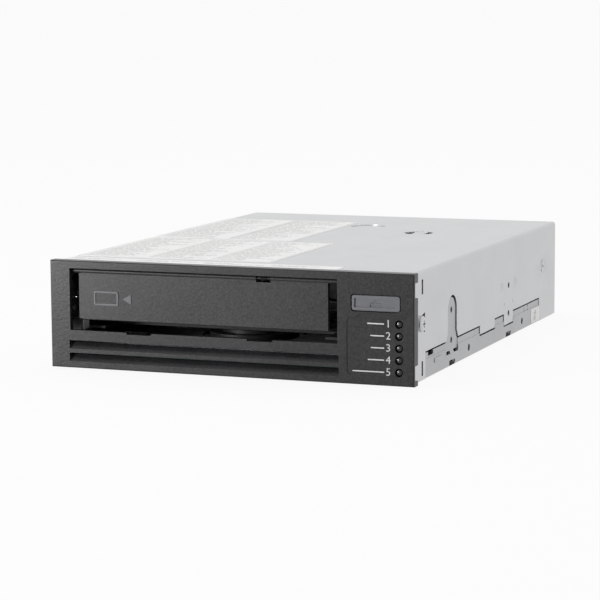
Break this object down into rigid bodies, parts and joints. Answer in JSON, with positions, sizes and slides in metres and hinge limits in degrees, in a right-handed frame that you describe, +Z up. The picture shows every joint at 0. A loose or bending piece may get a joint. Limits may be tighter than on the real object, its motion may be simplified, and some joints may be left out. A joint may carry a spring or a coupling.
{
  "type": "data tape drive",
  "caption": "Half-height 5.25-inch cartridge tape drive with a dark bezel, folded steel case, hinged slot door, loader, reel drives and tape path.",
  "frame": {"origin": "centre of the footprint on the surface the drive stands on", "axes": "+X to the right seen from the front, +Y from the bezel to the rear panel, +Z up"},
  "size_m": [0.149, 0.2064, 0.042],
  "materials": {
    "case_steel": "zinc-coated sheet steel, satin",
    "bezel_plastic": "textured dark grey ABS",
    "door_plastic": "textured dark grey ABS",
    "button_plastic": "mid grey ABS",
    "lens_plastic": "smoked clear polycarbonate",
    "bright_steel": "ground bright steel",
    "spring_steel": "drawn spring wire",
    "screw_steel": "nickel-plated",
    "circuit_board": "solder-masked epoxy glass",
    "led_body": "clear resin",
    "switch_body": "moulded black",
    "chip_resin": "moulded resin",
    "connector_plastic": "moulded black",
    "ribbon_film": "polyimide film",
    "deck_casting": "die-cast",
    "motor_steel": "plated can",
    "clutch_plastic": "moulded acetal",
    "reel_plastic": "moulded",
    "reel_flange": "smoked moulding",
    "carrier_steel": "folded sheet steel",
    "frame_steel": "folded sheet steel",
    "cam_steel": "pressed sheet steel",
    "nylon": "natural nylon",
    "gear_plastic": "white acetal",
    "brass_gear": "cut brass",
    "roller_alloy": "turned",
    "head_casting": "die-cast",
    "head_ceramic": "lapped dark ceramic"
  },
  "bodies": {
    "chassis": {"top_cover": "case_steel", "base_pan": "case_steel", "rear_panel": "case_steel", "bezel": "bezel_plastic", "hinge_rod": "bright_steel", "door_spring": "spring_steel", "button_spring": "spring_steel", "lamp_lenses": "lens_plastic", "front_board": "circuit_board", "board_screws": "screw_steel", "status_leds": "led_body", "eject_switch": "switch_body", "main_board": "circuit_board", "board_chips": "chip_resin", "sas_connector": "connector_plastic", "bus_connector": "connector_plastic", "front_ribbon": "ribbon_film", "ribbon_sockets": "connector_plastic", "deck": "deck_casting", "supply_motor": "motor_steel", "takeup_motor": "motor_steel", "right_frame": "frame_steel", "left_frame": "frame_steel", "gear_bracket": "frame_steel", "load_motor": "motor_steel", "roller_posts": "bright_steel", "head_rods": "bright_steel", "head_stepper": "motor_steel", "threader_post": "bright_steel", "threader_motor": "motor_steel", "deck_screws": "screw_steel", "bezel_screws": "screw_steel", "cover_screws": "screw_steel"},
    "door": {"cartridge_door": "door_plastic"},
    "button": {"eject_button": "button_plastic"},
    "cam_slider": {"left_cam_plate": "cam_steel", "right_cam_plate": "cam_steel", "slider_strap": "cam_steel", "slider_rack": "gear_plastic"},
    "cartridge_carrier": {"carrier": "carrier_steel", "carrier_pins": "bright_steel", "entry_guides": "nylon"},
    "last_gear": {"last_load_gear": "gear_plastic"},
    "first_gear": {"first_load_gear": "gear_plastic"},
    "load_pinion": {"motor_pinion": "brass_gear"},
    "supply_drive": {"supply_clutch": "clutch_plastic"},
    "takeup": {"takeup_reel": "reel_plastic", "takeup_flange": "reel_flange"},
    "roller_1": {"guide_roller_1": "roller_alloy"},
    "roller_2": {"guide_roller_2": "roller_alloy"},
    "roller_3": {"guide_roller_3": "roller_alloy"},
    "roller_4": {"guide_roller_4": "roller_alloy"},
    "head": {"head_carriage": "head_casting", "tape_head": "head_ceramic"},
    "head_screw": {"lead_screw": "bright_steel"},
    "threader": {"threader_arm": "gear_plastic", "leader_grabber": "bright_steel"},
    "threader_drive": {"threader_pinion": "brass_gear"}
  },
  "joints": [
    {"name": "door_hinge", "type": "hinge", "parent": "chassis", "child": "door", "pos_m": [-0.01085, -0.10065, 0.0379], "axis": [1, 0, 0], "range_deg": [0, 90], "stiffness_Nm_per_rad": 0.0006, "springref_deg": -51.57, "deforming": ["door_spring"]},
    {"name": "eject_button_press", "type": "slide", "parent": "chassis", "child": "button", "axis": [0, 1, 0], "range_m": [0, 0.001], "stiffness_N_per_m": 600, "springref_m": -0.0008, "deforming": ["button_spring"]},
    {"name": "load_slide", "type": "slide", "parent": "chassis", "child": "cam_slider", "axis": [0, 1, 0], "range_m": [0, 0.0057]},
    {"name": "carrier_lower", "type": "slide", "parent": "chassis", "child": "cartridge_carrier", "axis": [0, 0, -1], "range_m": [0, 0.0038]},
    {"name": "last_gear_spin", "type": "hinge", "parent": "chassis", "child": "last_gear", "pos_m": [0.0469, -0.04125, 0.0186], "axis": [1, 0, 0], "range_deg": [0, 90.8]},
    {"name": "first_gear_spin", "type": "hinge", "parent": "chassis", "child": "first_gear", "pos_m": [0.0502, -0.03037, 0.02367], "axis": [1, 0, 0], "range_deg": [-211.7, 0]},
    {"name": "load_motor_spin", "type": "hinge", "parent": "chassis", "child": "load_pinion", "pos_m": [0.0527, -0.01837, 0.02367], "axis": [1, 0, 0], "range_deg": [0, 494]},
    {"name": "supply_spin", "type": "hinge", "parent": "chassis", "child": "supply_drive", "pos_m": [-0.01085, -0.04925, 0.0082], "axis": [0, 0, 1], "continuous": true},
    {"name": "takeup_spin", "type": "hinge", "parent": "chassis", "child": "takeup", "pos_m": [0.0245, 0.05025, 0.0082], "axis": [0, 0, 1], "continuous": true},
    {"name": "roller_1_spin", "type": "hinge", "parent": "chassis", "child": "roller_1", "pos_m": [-0.05335, 0.01513, 0.01545], "axis": [0, 0, 1], "continuous": true},
    {"name": "roller_2_spin", "type": "hinge", "parent": "chassis", "child": "roller_2", "pos_m": [-0.05888, 0.02755, 0.01545], "axis": [0, 0, 1], "continuous": true},
    {"name": "roller_3_spin", "type": "hinge", "parent": "chassis", "child": "roller_3", "pos_m": [-0.048, 0.0489, 0.01545], "axis": [0, 0, 1], "continuous": true},
    {"name": "roller_4_spin", "type": "hinge", "parent": "chassis", "child": "roller_4", "pos_m": [-0.0347, 0.05173, 0.01545], "axis": [0, 0, 1], "continuous": true},
    {"name": "head_lift", "type": "slide", "parent": "chassis", "child": "head", "axis": [0, 0, 1], "range_m": [-0.0025, 0.0025]},
    {"name": "head_screw_spin", "type": "hinge", "parent": "chassis", "child": "head_screw", "pos_m": [-0.04555, 0.03421, 0.0082], "axis": [0, 0, 1], "range_deg": [-900.1, 900.1]},
    {"name": "threader_swing", "type": "hinge", "parent": "chassis", "child": "threader", "pos_m": [-0.037, 0.02985, 0.03365], "axis": [0, 0, -1], "range_deg": [0, 163]},
    {"name": "threader_motor_spin", "type": "hinge", "parent": "chassis", "child": "threader_drive", "pos_m": [-0.02611, 0.01308, 0.03675], "axis": [0, 0, -1], "range_deg": [-419.2, 0]}
  ],
  "couplings": [
    {"joint": "carrier_lower", "follows": "load_slide", "ratio": 0.66667},
    {"joint": "last_gear_spin", "follows": "load_slide", "rad_per_m": 277.78},
    {"joint": "first_gear_spin", "follows": "load_slide", "rad_per_m": -648.15},
    {"joint": "load_motor_spin", "follows": "load_slide", "rad_per_m": 1512.3},
    {"joint": "head_screw_spin", "follows": "head_lift", "rad_per_m": 6283.2},
    {"joint": "threader_motor_spin", "follows": "threader_swing", "ratio": -2.5714}
  ]
}
